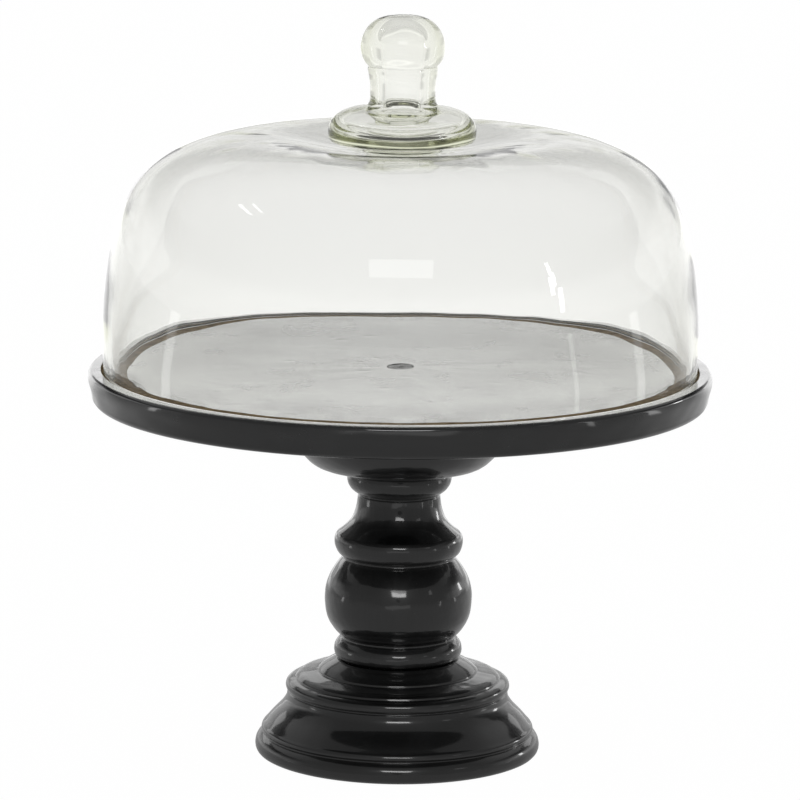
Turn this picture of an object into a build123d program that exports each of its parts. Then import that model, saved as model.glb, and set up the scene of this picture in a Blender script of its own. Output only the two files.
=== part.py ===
from build123d import *
import math
import os

# Pedestal cake stand with a lift-off glass dome.
# Units are millimetres. +Z is up, the origin is the centre of the foot's
# underside, so Z = 0 is the table. Every turned piece is a body of revolution
# about Z. Radii are measured from that axis.

# ---------------------------------------------------------------- dimensions
PLATE_R = 152.5            # outer radius of the serving plate (12 in plate)
PLATE_TOP_Z = 192.3        # top of the plate's raised rim
PLATE_UNDER_Z = 176.3      # flat underside of the plate
PLATE_FLOOR_Z = 191.0      # floor of the shallow turned recess
RECESS_R = 146.0           # wall of the recess that keeps the dome in place
PLATE_RIM_R = 2.0          # round on the rim's outer top edge
PLATE_EDGE_R = 3.4         # round between the plate's side and underside

FLANGE_R = 57.5            # widest radius of the turned flange under the plate
FLANGE_Z = 143.5           # joint between column and flange

COLUMN_Z = 47.5            # joint between foot and column
TENON_LOW_R = 12.0         # turned tenon on the column's lower end
TENON_LOW_L = 11.5
TENON_TOP_R = 11.0         # turned tenon on the column's upper end
TENON_TOP_L = 12.5
TENON_FIT = 0.05           # radial glue clearance round each tenon
TENON_END = 0.5            # space left at the end of each tenon

FELT_R = 59.5              # felt disc under the foot
FELT_RECESS_R = 60.0
FELT_RECESS_D = 2.0
FELT_T = 1.6

SCREW_R = 3.0              # 6 mm wood screw under the foot, crest radius
SCREW_CORE_R = 2.1
SCREW_NECK_R = 2.6
SCREW_CLEAR_R = 3.2        # clearance hole in the foot
TOP_SCREW_R = 1.95         # 4 mm wood screw through the plate, crest radius
TOP_SCREW_CORE_R = 1.35
TOP_SCREW_NECK_R = 1.65
TOP_SCREW_CLEAR_R = 1.99   # clearance hole in plate and flange
PLUG_R = 6.5               # wood plug over the plate screw
PLUG_D = 2.2               # plug thickness
CSK_HEAD_R = 4.0           # countersunk head
CSK_HEAD_H = 2.6
PLATE_SCREW_L = 70.0
FOOT_SCREW_L = 58.0
FOOT_BORE_R = 9.0          # counterbore for the screw under the foot
FOOT_BORE_Z = 20.0         # top of that counterbore
WASHER_R = 7.6
WASHER_T = 1.6
PAN_HEAD_R = 5.6
PAN_HEAD_H = 3.6

DOME_SEAT_GAP = 0.05       # ground lip of the dome above the recess floor
LIP_Z = PLATE_FLOOR_Z + DOME_SEAT_GAP
NECK_R = 16.9              # short neck that carries the knob
NECK_TOP_Z = 303.6
COLLAR_TOP_Z = 323.8
COLLAR_TOP_R = 16.0
STEM_BORE_R = 8.8          # the hollow in the stem, between collar and ball
KNOB_NOTCH_Z = 340.8       # pinch between stem and ball
TOP_Z = 365.5              # top of the knob, overall height


# ------------------------------------------------------------------- helpers
def turned(*segments):
    """Revolve a closed half profile about Z. Each segment is ("line", p, q, ..)
    or ("spline", p, q, ..) or ("arc", start, middle, end), in (r, z)."""
    edges = []
    for kind, *pts in segments:
        pts = [Vector(r, 0, z) for r, z in pts]
        if kind == "line":
            edges += [Line(a, b) for a, b in zip(pts, pts[1:])]
        elif kind == "spline":
            edges.append(Spline(*pts))
        elif kind == "arc":
            edges.append(ThreePointArc(*pts))
    face = Face(Wire(edges))
    return revolve(face, axis=Axis.Z, revolution_arc=360)


def rod(r, z0, z1):
    return turned(("line", (0, z0), (r, z0), (r, z1), (0, z1), (0, z0)))


def tube(r_in, r_out, z0, z1):
    return turned(("line", (r_in, z0), (r_out, z0), (r_out, z1), (r_in, z1), (r_in, z0)))


def save(shape, name):
    solids = shape.solids()
    part = solids[0] if len(solids) == 1 else Compound(children=list(solids))
    part.label = name
    export_step(part, f"parts/{name}.step")


os.makedirs("parts", exist_ok=True)

# ---------------------------------------------------------------------- foot
# Stepped round foot: bottom torus, groove, lip, long cove, bead, two low
# shoulders that rise to the column.
foot_outline = [
    ("line", (0, FELT_RECESS_D), (FELT_RECESS_R, FELT_RECESS_D), (FELT_RECESS_R, 0), (66.6, 0)),
    ("spline", (66.6, 0), (68.9, 1.1), (70.0, 3.9), (69.7, 6.6), (68.4, 8.9), (67.0, 10.0)),
    ("line", (67.0, 10.0), (66.3, 10.3), (66.3, 10.9)),
    ("spline", (66.3, 10.9), (66.9, 12.0), (66.6, 13.6), (65.6, 14.6)),
    ("spline", (65.6, 14.6), (63.2, 17.5), (60.4, 20.4), (57.9, 23.0), (55.9, 25.8), (54.7, 28.2), (54.3, 30.6)),
    ("line", (54.3, 30.6), (53.7, 31.0), (53.7, 31.5)),
    ("spline", (53.7, 31.5), (54.8, 32.4), (55.1, 34.0), (54.4, 35.8), (52.8, 36.8)),
    ("line", (52.8, 36.8), (50.4, 37.2), (50.1, 38.2)),
    ("spline", (50.1, 38.2), (49.2, 38.9), (45.0, 40.1), (39.9, 41.0)),
    ("line", (39.9, 41.0), (39.3, 41.0), (39.1, 41.9)),
    ("spline", (39.1, 41.9), (37.9, 43.0), (34.2, 45.4), (30.4, COLUMN_Z)),
    ("line", (30.4, COLUMN_Z), (0, COLUMN_Z), (0, FELT_RECESS_D)),
]
mortise_low = rod(TENON_LOW_R + TENON_FIT, COLUMN_Z - TENON_LOW_L - TENON_END, COLUMN_Z + 1)
foot = turned(*foot_outline) - mortise_low \
    - rod(FOOT_BORE_R, FELT_RECESS_D - 1, FOOT_BORE_Z) - rod(SCREW_CLEAR_R, 10, COLUMN_Z)
save(foot, "foot")

# Felt disc glued into the shallow recess: it hides the counterbore and stays
# just above the table, so the wooden ring round it carries the stand.
felt = rod(FELT_R, FELT_RECESS_D - FELT_T, FELT_RECESS_D)
save(felt, "base_felt")

# -------------------------------------------------------------------- column
# Turned baluster: torus, ball, ring with a sharp arris, long cove and a small
# bead, with a turned tenon on each end.
column_outline = [
    ("line", (0, COLUMN_Z - TENON_LOW_L), (TENON_LOW_R - 0.8, COLUMN_Z - TENON_LOW_L),
     (TENON_LOW_R, COLUMN_Z - TENON_LOW_L + 0.8), (TENON_LOW_R, COLUMN_Z), (28.8, COLUMN_Z)),
    ("spline", (28.8, COLUMN_Z), (30.6, 49.1), (31.4, 51.9), (30.9, 54.8), (29.0, 57.6)),
    ("line", (29.0, 57.6), (27.6, 58.0), (27.6, 58.9)),
    ("spline", (27.6, 58.9), (30.2, 61.0), (32.8, 64.4), (34.8, 68.5), (35.8, 73.0), (36.1, 78.0),
     (35.6, 83.4), (34.0, 88.4), (31.6, 92.8), (28.9, 96.4), (27.5, 97.9)),
    ("line", (27.5, 97.9), (27.3, 98.2), (27.3, 98.8)),
    ("spline", (27.3, 98.8), (29.3, 100.2), (30.8, 102.6), (31.5, 105.9), (31.2, 108.6), (30.3, 110.4)),
    ("spline", (30.3, 110.4), (27.4, 112.6), (25.2, 114.7), (23.5, 116.8), (22.2, 119.3), (21.2, 122.4),
     (20.5, 125.8), (20.2, 129.3)),
    ("line", (20.2, 129.3), (19.9, 129.7), (19.9, 130.2)),
    ("spline", (19.9, 130.2), (22.7, 132.0), (24.8, 134.7), (25.6, 137.6), (25.3, 140.3), (24.2, 142.5),
     (23.0, FLANGE_Z)),
    ("line", (23.0, FLANGE_Z), (TENON_TOP_R, FLANGE_Z),
     (TENON_TOP_R, FLANGE_Z + TENON_TOP_L - 0.8), (TENON_TOP_R - 0.8, FLANGE_Z + TENON_TOP_L),
     (0, FLANGE_Z + TENON_TOP_L), (0, COLUMN_Z - TENON_LOW_L)),
]
PLUG_Z = PLATE_FLOOR_Z - PLUG_D
PLATE_SCREW_TIP = PLUG_Z - PLATE_SCREW_L
FOOT_HEAD_Z = FOOT_BORE_Z - WASHER_T
FOOT_SCREW_TIP = FOOT_HEAD_Z + FOOT_SCREW_L
column = turned(*column_outline) \
    - rod(TOP_SCREW_R, PLATE_SCREW_TIP - 1.5, FLANGE_Z + TENON_TOP_L + 1) \
    - rod(SCREW_R, COLUMN_Z - TENON_LOW_L - 1, FOOT_SCREW_TIP + 1.5)
save(column, "column")

# ---------------------------------------------------------------- top flange
# Separate turned flange that spreads the plate's load: saucer-shaped below,
# with an upright edge against the plate.
flange_outline = [
    ("line", (0, FLANGE_Z), (35.0, FLANGE_Z)),
    ("spline", (35.0, FLANGE_Z), (40.6, 144.6), (45.0, 147.5), (48.9, 152.0), (52.2, 157.4), (54.9, 163.4),
     (56.8, 169.4), (FLANGE_R, 173.2)),
    ("line", (FLANGE_R, 173.2), (FLANGE_R, PLATE_UNDER_Z), (0, PLATE_UNDER_Z), (0, FLANGE_Z)),
]
flange = turned(*flange_outline) \
    - rod(TENON_TOP_R + TENON_FIT, FLANGE_Z - 1, FLANGE_Z + TENON_TOP_L + TENON_END) \
    - rod(TOP_SCREW_CLEAR_R, FLANGE_Z, PLATE_UNDER_Z + 1)
save(flange, "top_flange")

# --------------------------------------------------------------------- plate
# Serving plate with a raised rim. The rim's inside wall locates the dome.
plate_outline = [
    ("line", (0, PLATE_UNDER_Z), (PLATE_R - 2.0 - PLATE_EDGE_R, PLATE_UNDER_Z)),
    ("arc", (PLATE_R - 2.0 - PLATE_EDGE_R, PLATE_UNDER_Z),
     (PLATE_R - 2.0 - PLATE_EDGE_R * (1 - math.sin(math.radians(48))),
      PLATE_UNDER_Z + PLATE_EDGE_R * (1 - math.cos(math.radians(48)))),
     (PLATE_R - 2.0, PLATE_UNDER_Z + PLATE_EDGE_R)),
    ("spline", (PLATE_R - 2.0, PLATE_UNDER_Z + PLATE_EDGE_R), (PLATE_R - 0.9, 184.6), (PLATE_R - 0.1, 188.2),
     (PLATE_R, PLATE_TOP_Z - PLATE_RIM_R)),
    ("arc", (PLATE_R, PLATE_TOP_Z - PLATE_RIM_R),
     (PLATE_R - PLATE_RIM_R * (1 - math.sqrt(0.5)), PLATE_TOP_Z - PLATE_RIM_R * (1 - math.sqrt(0.5))),
     (PLATE_R - PLATE_RIM_R, PLATE_TOP_Z)),
    ("line", (PLATE_R - PLATE_RIM_R, PLATE_TOP_Z), (RECESS_R + 0.5, PLATE_TOP_Z)),
    ("arc", (RECESS_R + 0.5, PLATE_TOP_Z), (RECESS_R + 0.15, PLATE_TOP_Z - 0.15), (RECESS_R, PLATE_TOP_Z - 0.5)),
    ("line", (RECESS_R, PLATE_TOP_Z - 0.5), (RECESS_R, PLATE_FLOOR_Z), (0, PLATE_FLOOR_Z), (0, PLATE_UNDER_Z)),
]
csk_seat = turned(("line", (0, PLUG_Z - CSK_HEAD_H), (TOP_SCREW_CLEAR_R, PLUG_Z - CSK_HEAD_H),
                   (CSK_HEAD_R + 0.05, PLUG_Z - 0.4), (CSK_HEAD_R + 0.05, PLUG_Z), (0, PLUG_Z),
                   (0, PLUG_Z - CSK_HEAD_H)))
plate = turned(*plate_outline) - rod(PLUG_R, PLUG_Z, PLATE_FLOOR_Z + 1) - csk_seat \
    - rod(TOP_SCREW_CLEAR_R, PLATE_UNDER_Z - 1, PLUG_Z)
save(plate, "plate")

# Wood plug that fills the screw's counterbore, flush with the recess floor.
save(rod(PLUG_R - 0.02, PLUG_Z, PLATE_FLOOR_Z), "plate_plug")


# ------------------------------------------------------------------ fixings
def thread_points(z_start, z_end, core, crest, pitch):
    """Crest and root points of a coarse wood thread from z_start towards z_end."""
    n = max(2, int(abs(z_end - z_start) / pitch))
    step = (z_end - z_start) / n
    pts = []
    for i in range(n):
        z = z_start + i * step
        pts += [(core, z), (core, z + 0.45 * step), (crest, z + 0.72 * step), (crest, z + 0.80 * step)]
    pts.append((core, z_end))
    return pts


def cross_recess(z, depth, length, width, up):
    """Cross-shaped driver recess cut into a screw head at height z."""
    zc = z - depth / 2 if up else z + depth / 2
    return Pos(0, 0, zc) * Box(length, width, depth) + Pos(0, 0, zc) * Box(width, length, depth)


# Countersunk screw: plate and flange down into the column.
neck_end = FLANGE_Z + 2
pts = [(0, PLUG_Z), (CSK_HEAD_R, PLUG_Z), (CSK_HEAD_R, PLUG_Z - 0.35), (TOP_SCREW_NECK_R, PLUG_Z - CSK_HEAD_H),
       (TOP_SCREW_NECK_R, neck_end)]
pts += thread_points(neck_end - 0.6, PLATE_SCREW_TIP + 4, TOP_SCREW_CORE_R, TOP_SCREW_R, 1.8)
pts += [(0.25, PLATE_SCREW_TIP), (0, PLATE_SCREW_TIP), (0, PLUG_Z)]
plate_screw = turned(("line", *pts)) - cross_recess(PLUG_Z, 1.5, 3.8, 0.9, True)
save(plate_screw, "plate_screw")

# Pan-head screw: up through the foot into the column's lower tenon.
neck_end = COLUMN_Z - TENON_LOW_L - 1.5
pts = [(0, FOOT_HEAD_Z - PAN_HEAD_H), (PAN_HEAD_R - 1.6, FOOT_HEAD_Z - PAN_HEAD_H),
       (PAN_HEAD_R - 0.4, FOOT_HEAD_Z - PAN_HEAD_H + 0.9), (PAN_HEAD_R, FOOT_HEAD_Z - 1.2),
       (PAN_HEAD_R, FOOT_HEAD_Z), (SCREW_NECK_R, FOOT_HEAD_Z), (SCREW_NECK_R, neck_end)]
pts += thread_points(neck_end + 0.6, FOOT_SCREW_TIP - 5, SCREW_CORE_R, SCREW_R, 2.6)
pts += [(0.25, FOOT_SCREW_TIP), (0, FOOT_SCREW_TIP), (0, FOOT_HEAD_Z - PAN_HEAD_H)]
foot_screw = turned(("line", *pts)) - cross_recess(FOOT_HEAD_Z - PAN_HEAD_H, 1.9, 5.4, 1.1, False)
save(foot_screw, "foot_screw")

save(tube(SCREW_R + 0.2, WASHER_R, FOOT_HEAD_Z, FOOT_BORE_Z), "foot_washer")

# ---------------------------------------------------------------- glass dome
# Blown bell: plain lip with rounded edges, nearly upright wall, wide shoulder, crown that
# dips gently to the neck. The wall is a little thicker at the lip.
dome_out = [
    (144.95, 192.3), (145.05, 195.0), (145.2, 200.0), (145.4, 207.0), (145.2, 219.0), (144.4, 231.0),
    (143.0, 242.5), (141.1, 253.5), (138.4, 264.0), (134.4, 274.0), (128.8, 282.9), (121.6, 290.4),
    (112.8, 296.4), (102.6, 300.9), (91.0, 304.0), (78.5, 305.6), (66.0, 305.6), (53.0, 304.1),
    (40.0, 301.9), (28.0, 300.2), (19.6, 299.9),
]
dome_in = [
    (20.5, 296.3), (29.0, 296.6), (40.5, 298.3), (53.3, 300.7), (66.0, 302.3), (78.2, 302.3),
    (90.1, 300.8), (101.2, 297.9), (110.9, 293.7), (119.3, 288.0), (126.0, 280.9), (131.0, 272.6),
    (134.7, 263.0), (137.4, 252.8), (139.2, 242.2), (140.2, 231.0), (140.65, 219.0), (140.7, 208.0),
    (140.6, 202.0), (140.45, 197.0),
]
dome = turned(
    ("line", (141.3, LIP_Z), (143.9, LIP_Z)),
    ("spline", (143.9, LIP_Z), (144.65, 191.4), *dome_out),
    ("spline", (19.6, 299.9), (18.1, 300.4), (17.2, 301.4), (NECK_R, 302.6)),
    ("line", (NECK_R, 302.6), (NECK_R, NECK_TOP_Z), (0, NECK_TOP_Z), (0, 296.7)),
    ("spline", (0, 296.7), (7.0, 296.5), (14.0, 296.3), *dome_in,
     (140.3, 193.6), (140.5, 191.9), (141.3, LIP_Z)),
)
save(dome, "glass_dome")

# Collar that the fingers rest on: a thick blown ring, hollow inside, fused to the neck.
collar = turned(
    ("line", (0, NECK_TOP_Z), (33.0, NECK_TOP_Z)),
    ("spline", (33.0, NECK_TOP_Z), (35.1, 304.7), (36.0, 307.3), (35.9, 310.6), (34.5, 314.0), (31.6, 317.0),
     (27.6, 319.1), (23.2, 320.3), (19.2, 321.0), (17.0, 321.9), (COLLAR_TOP_R, COLLAR_TOP_Z)),
    ("line", (COLLAR_TOP_R, COLLAR_TOP_Z), (STEM_BORE_R, COLLAR_TOP_Z)),
    ("spline", (STEM_BORE_R, COLLAR_TOP_Z), (9.3, 320.6), (11.4, 317.9), (15.5, 316.2), (21.0, 315.2),
     (26.0, 313.6), (28.5, 311.2), (27.7, 308.8), (23.5, 307.5), (16.5, 307.1), (8.0, 306.9), (0, 306.9)),
    ("line", (0, 306.9), (0, NECK_TOP_Z)),
)
save(collar, "knob_collar")

# Hollow blown knob: stem that swells upward, a pinch, then a round ball whose
# hollow follows its outside and runs down into the collar.
knob = turned(
    ("line", (STEM_BORE_R, COLLAR_TOP_Z), (COLLAR_TOP_R, COLLAR_TOP_Z)),
    ("spline", (COLLAR_TOP_R, COLLAR_TOP_Z), (15.8, 327.0), (16.0, 331.5), (16.6, 336.0), (17.1, 339.6),
     (16.9, KNOB_NOTCH_Z)),
    ("spline", (16.9, KNOB_NOTCH_Z), (18.2, 342.2), (19.9, 346.0), (20.4, 350.4), (19.5, 355.4), (16.9, 359.9),
     (12.6, 363.3), (6.6, 365.1), (0, TOP_Z)),
    ("line", (0, TOP_Z), (0, 359.4)),
    ("spline", (0, 359.4), (4.4, 358.8), (8.3, 356.7), (10.7, 353.2), (11.2, 349.4), (10.5, 345.0), (9.4, 340.6),
     (8.9, 335.5), (8.7, 329.5), (STEM_BORE_R, COLLAR_TOP_Z)),
)
save(knob, "knob")
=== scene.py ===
import math

import bmesh
import bpy
import numpy as np
from mathutils import Matrix, Vector


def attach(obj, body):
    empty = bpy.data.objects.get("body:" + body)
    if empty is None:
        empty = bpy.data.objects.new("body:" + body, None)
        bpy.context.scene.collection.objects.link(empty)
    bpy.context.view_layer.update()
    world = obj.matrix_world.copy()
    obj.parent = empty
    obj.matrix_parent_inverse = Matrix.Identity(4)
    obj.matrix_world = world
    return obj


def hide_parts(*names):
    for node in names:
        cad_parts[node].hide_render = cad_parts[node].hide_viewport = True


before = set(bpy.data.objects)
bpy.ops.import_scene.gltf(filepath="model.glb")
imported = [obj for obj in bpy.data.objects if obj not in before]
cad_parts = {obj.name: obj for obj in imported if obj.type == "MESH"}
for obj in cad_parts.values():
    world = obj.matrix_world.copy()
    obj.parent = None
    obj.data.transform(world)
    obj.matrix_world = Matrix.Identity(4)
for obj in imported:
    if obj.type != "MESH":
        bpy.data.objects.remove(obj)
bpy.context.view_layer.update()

MM = 0.001
scene = bpy.context.scene


# ---------------------------------------------------------------- profiles
def cubic(points, step=0.06):
    """Natural cubic spline through points by chord length, sampled finely."""
    p = np.array(points, float)
    if len(p) < 3:
        return line(points, step)
    t = np.concatenate([[0], np.cumsum(np.linalg.norm(np.diff(p, axis=0), axis=1))])
    n = len(t)
    h = np.diff(t)
    a = np.zeros((n, n))
    b = np.zeros((n, 2))
    a[0, 0] = a[-1, -1] = 1.0
    for i in range(1, n - 1):
        a[i, i - 1], a[i, i], a[i, i + 1] = h[i - 1], 2 * (h[i - 1] + h[i]), h[i]
        b[i] = 6 * ((p[i + 1] - p[i]) / h[i] - (p[i] - p[i - 1]) / h[i - 1])
    m = np.linalg.solve(a, b)
    q = np.linspace(0, t[-1], max(int(t[-1] / step), 6) + 1)
    k = np.clip(np.searchsorted(t, q, side="right") - 1, 0, n - 2)
    u, v = q - t[k], t[k + 1] - q
    hk = h[k]
    return (
        m[k] * (v**3)[:, None] / (6 * hk)[:, None]
        + m[k + 1] * (u**3)[:, None] / (6 * hk)[:, None]
        + (p[k] / hk[:, None] - m[k] * hk[:, None] / 6) * v[:, None]
        + (p[k + 1] / hk[:, None] - m[k + 1] * hk[:, None] / 6) * u[:, None]
    )


def line(points, step=0.06):
    out = []
    for a, b in zip(points[:-1], points[1:]):
        a, b = np.array(a, float), np.array(b, float)
        n = max(int(np.linalg.norm(b - a) / step), 1)
        for i in range(n + 1):
            out.append(a + (b - a) * i / n)
    return np.array(out)


def arc(centre, radius, a0, a1):
    a = np.radians(np.linspace(a0, a1, 40))
    return np.column_stack(
        [centre[0] + radius * np.cos(a), centre[1] + radius * np.sin(a)]
    )


def join(*parts):
    out = [parts[0][0]]
    for part in parts:
        for q in part:
            if np.linalg.norm(q - out[-1]) > 1e-4:
                out.append(q)
    return np.array(out)


def soften(profile, sigma, closed=False):
    """Rounds the corners of a dense polyline by a gaussian of width sigma (mm) along its length."""
    seg = np.linalg.norm(np.diff(profile, axis=0), axis=1)
    s = np.concatenate([[0], np.cumsum(seg)])
    n = int(s[-1] / 0.05) + 1
    q = np.linspace(0, s[-1], n)
    p = np.column_stack([np.interp(q, s, profile[:, i]) for i in (0, 1)])
    step = q[1] - q[0]
    w = int(math.ceil(3.5 * sigma / step))
    k = np.exp(-0.5 * (np.arange(-w, w + 1) * step / sigma) ** 2)
    k /= k.sum()
    if closed:
        pad = np.concatenate([p[-w - 1 : -1], p, p[1 : w + 1]])
    else:
        # each end is continued by its own mirror image, so that the ends stay where they are
        head = 2 * p[0] - p[1 : w + 1][::-1]
        tail = 2 * p[-1] - p[-w - 1 : -1][::-1]
        pad = np.concatenate([head, p, tail])
    out = np.column_stack([np.convolve(pad[:, i], k, mode="valid") for i in (0, 1)])
    if closed:
        out[-1] = out[0]
    return out


def resample(profile, count, longest=3.0, shortest=0.06, tol=0.004):
    """Keeps count points of a dense polyline, close together where it curves."""
    seg = np.linalg.norm(np.diff(profile, axis=0), axis=1)
    s = np.concatenate([[0], np.cumsum(seg)])
    d = np.gradient(profile, s, axis=0)
    d /= np.maximum(np.linalg.norm(d, axis=1), 1e-9)[:, None]
    k = np.linalg.norm(np.gradient(d, s, axis=0), axis=1)
    w = 15
    k = np.convolve(np.pad(k, w, mode="edge"), np.hanning(2 * w + 1) / np.hanning(2 * w + 1).sum(), mode="valid")
    density = np.clip(np.sqrt(k / (8 * tol)), 1 / longest, 1 / shortest)
    c = np.concatenate([[0], np.cumsum((density[1:] + density[:-1]) / 2 * np.diff(s))])
    q = np.interp(np.linspace(0, c[-1], count), c, s)
    return np.column_stack([np.interp(q, s, profile[:, i]) for i in (0, 1)])


def lathe(name, profile, segments, shift=None, closed=False):
    """A closed surface of revolution from (r, z) in millimetres. A profile that isn't closed starts and ends on the axis.
    shift(r, z, theta, normal_r, normal_z) gives how far each point stands proud, in millimetres."""
    p = profile[:-1] if closed else profile[1:-1]
    n = len(p)
    if closed:
        t = np.roll(p, -1, axis=0) - np.roll(p, 1, axis=0)
    else:
        q = profile
        t = q[2:] - q[:-2]
    t /= np.maximum(np.linalg.norm(t, axis=1), 1e-9)[:, None]
    nr, nz = -t[:, 1], t[:, 0]
    # the outward side is the one that enlarges the solid
    ring = np.vstack([profile, profile[:1]])
    area = np.sum(ring[:-1, 0] * ring[1:, 1] - ring[1:, 0] * ring[:-1, 1])
    if area > 0:
        nr, nz = -nr, -nz
    theta = np.arange(segments) * 2 * math.pi / segments
    rr, tt = np.meshgrid(p[:, 0], theta, indexing="ij")
    zz = np.meshgrid(p[:, 1], theta, indexing="ij")[0]
    nnr = np.meshgrid(nr, theta, indexing="ij")[0]
    nnz = np.meshgrid(nz, theta, indexing="ij")[0]
    if shift is not None:
        d = shift(rr, zz, tt, nnr, nnz)
        rr = rr + nnr * d
        zz = zz + nnz * d
    x, y = rr * np.cos(tt), rr * np.sin(tt)
    verts = np.column_stack([x.ravel(), y.ravel(), zz.ravel()]) * MM
    i = np.arange(n if closed else n - 1)
    j = np.arange(segments)
    ii, jj = np.meshgrid(i, j, indexing="ij")
    i2 = (ii + 1) % n
    j2 = (jj + 1) % segments
    quads = np.stack(
        [ii * segments + jj, ii * segments + j2, i2 * segments + j2, i2 * segments + jj],
        axis=-1,
    ).reshape(-1, 4)
    flip = area < 0
    if flip:
        quads = quads[:, ::-1]
    faces = quads.tolist()
    verts = verts.tolist()
    if not closed:
        first, last = len(verts), len(verts) + 1
        verts.append([0.0, 0.0, profile[0, 1] * MM])
        verts.append([0.0, 0.0, profile[-1, 1] * MM])
        for k in range(segments):
            k2 = (k + 1) % segments
            a = [first, k2, k]
            b = [last, (n - 1) * segments + k, (n - 1) * segments + k2]
            faces.append(a[::-1] if flip else a)
            faces.append(b[::-1] if flip else b)
    mesh = bpy.data.meshes.new(name)
    mesh.from_pydata(verts, [], faces)
    mesh.validate()
    mesh.polygons.foreach_set("use_smooth", [True] * len(mesh.polygons))
    mesh.update()
    obj = bpy.data.objects.new(name, mesh)
    scene.collection.objects.link(obj)
    return obj


class Waves:
    """A smooth field over a surface of revolution: a sum of seeded sine waves round it and along it."""

    def __init__(self, seed, count, wavelength, spread, around):
        g = np.random.default_rng(seed)
        self.m, self.k, self.ph, self.a = [], [], [], []
        for _ in range(count):
            f = 2 * math.pi / (wavelength * g.uniform(1 - spread, 1 + spread))
            ang = g.uniform(0, math.pi)
            self.m.append(int(round(f * math.cos(ang) * around)))
            self.k.append(f * math.sin(ang))
            self.ph.append(g.uniform(0, 2 * math.pi))
            self.a.append(g.uniform(0.6, 1.0))
        self.norm = math.sqrt(sum(a * a for a in self.a) / 2)

    def __call__(self, theta, s):
        out = 0.0
        for m, k, ph, a in zip(self.m, self.k, self.ph, self.a):
            out = out + a * np.sin(m * theta + k * s + ph)
        return out / self.norm


def smooth(a, b, x):
    t = np.clip((x - a) / (b - a), 0, 1)
    return t * t * (3 - 2 * t)


# ------------------------------------------------------------------ shapes
LONG_FOOT, LONG_COLUMN, LONG_PLATE, LONG_FLANGE = 256, 256, 300, 256

foot_profile = join(
    line([(12.05, 47.5), (12.05, 35.5), (3.2, 35.5), (3.2, 20.0), (9.0, 20.0), (9.0, 2.0), (60.0, 2.0), (60.0, 0.0), (66.6, 0.0)]),
    cubic([(66.6, 0), (68.9, 1.1), (70.0, 3.9), (69.7, 6.6), (68.4, 8.9), (67.0, 10.0)]),
    line([(67.0, 10.0), (66.3, 10.3), (66.3, 10.9)]),
    cubic([(66.3, 10.9), (66.9, 12.0), (66.6, 13.6), (65.6, 14.6)]),
    cubic([(65.6, 14.6), (63.2, 17.5), (60.4, 20.4), (57.9, 23.0), (55.9, 25.8), (54.7, 28.2), (54.3, 30.6)]),
    line([(54.3, 30.6), (53.7, 31.0), (53.7, 31.5)]),
    cubic([(53.7, 31.5), (54.8, 32.4), (55.1, 34.0), (54.4, 35.8), (52.8, 36.8)]),
    line([(52.8, 36.8), (50.4, 37.2), (50.1, 38.2)]),
    cubic([(50.1, 38.2), (49.2, 38.9), (45.0, 40.1), (39.9, 41.0)]),
    line([(39.9, 41.0), (39.3, 41.0), (39.1, 41.9)]),
    cubic([(39.1, 41.9), (37.9, 43.0), (34.2, 45.4), (30.4, 47.5)]),
    line([(30.4, 47.5), (12.05, 47.5)]),
)
column_profile = join(
    line([(0.0, 77.9), (3.0, 77.9), (3.0, 36.0), (11.2, 36.0), (12.0, 36.8), (12.0, 47.5), (28.8, 47.5)]),
    cubic([(28.8, 47.5), (30.6, 49.1), (31.4, 51.9), (30.9, 54.8), (29.0, 57.6)]),
    line([(29.0, 57.6), (27.6, 58.0), (27.6, 58.9)]),
    cubic([(27.6, 58.9), (30.2, 61.0), (32.8, 64.4), (34.8, 68.5), (35.8, 73.0), (36.1, 78.0), (35.6, 83.4), (34.0, 88.4), (31.6, 92.8), (28.9, 96.4), (27.5, 97.9)]),
    line([(27.5, 97.9), (27.3, 98.2), (27.3, 98.8)]),
    cubic([(27.3, 98.8), (29.3, 100.2), (30.8, 102.6), (31.5, 105.9), (31.2, 108.6), (30.3, 110.4)]),
    cubic([(30.3, 110.4), (27.4, 112.6), (25.2, 114.7), (23.5, 116.8), (22.2, 119.3), (21.2, 122.4), (20.5, 125.8), (20.2, 129.3)]),
    line([(20.2, 129.3), (19.9, 129.7), (19.9, 130.2)]),
    cubic([(19.9, 130.2), (22.7, 132.0), (24.8, 134.7), (25.6, 137.6), (25.3, 140.3), (24.2, 142.5), (23.0, 143.5)]),
    line([(23.0, 143.5), (11.0, 143.5), (11.0, 155.2), (10.2, 156.0), (1.95, 156.0), (1.95, 117.3), (0.0, 117.3)]),
)
flange_profile = join(
    line([(1.99, 176.3), (1.99, 156.5), (11.05, 156.5), (11.05, 143.5), (35.0, 143.5)]),
    cubic([(35, 143.5), (40.6, 144.6), (45.0, 147.5), (48.9, 152.0), (52.2, 157.4), (54.9, 163.4), (56.8, 169.4), (57.5, 173.2)]),
    line([(57.5, 173.2), (57.5, 176.3), (1.99, 176.3)]),
)
plate_profile = join(
    line([(1.99, 186.2), (1.99, 176.3), (147.1, 176.3)]),
    arc((147.1, 179.7), 3.4, -90, 0),
    cubic([(150.5, 179.7), (151.6, 184.6), (152.4, 188.2), (152.5, 190.3)]),
    arc((150.5, 190.3), 2.0, 0, 90),
    line([(150.5, 192.3), (146.5, 192.3)]),
    arc((146.5, 191.8), 0.5, 90, 180),
    line([(146.0, 191.8), (146.0, 191.0), (6.5, 191.0), (6.5, 188.8), (4.05, 188.8), (4.05, 188.4), (1.99, 186.2)]),
)


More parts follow.
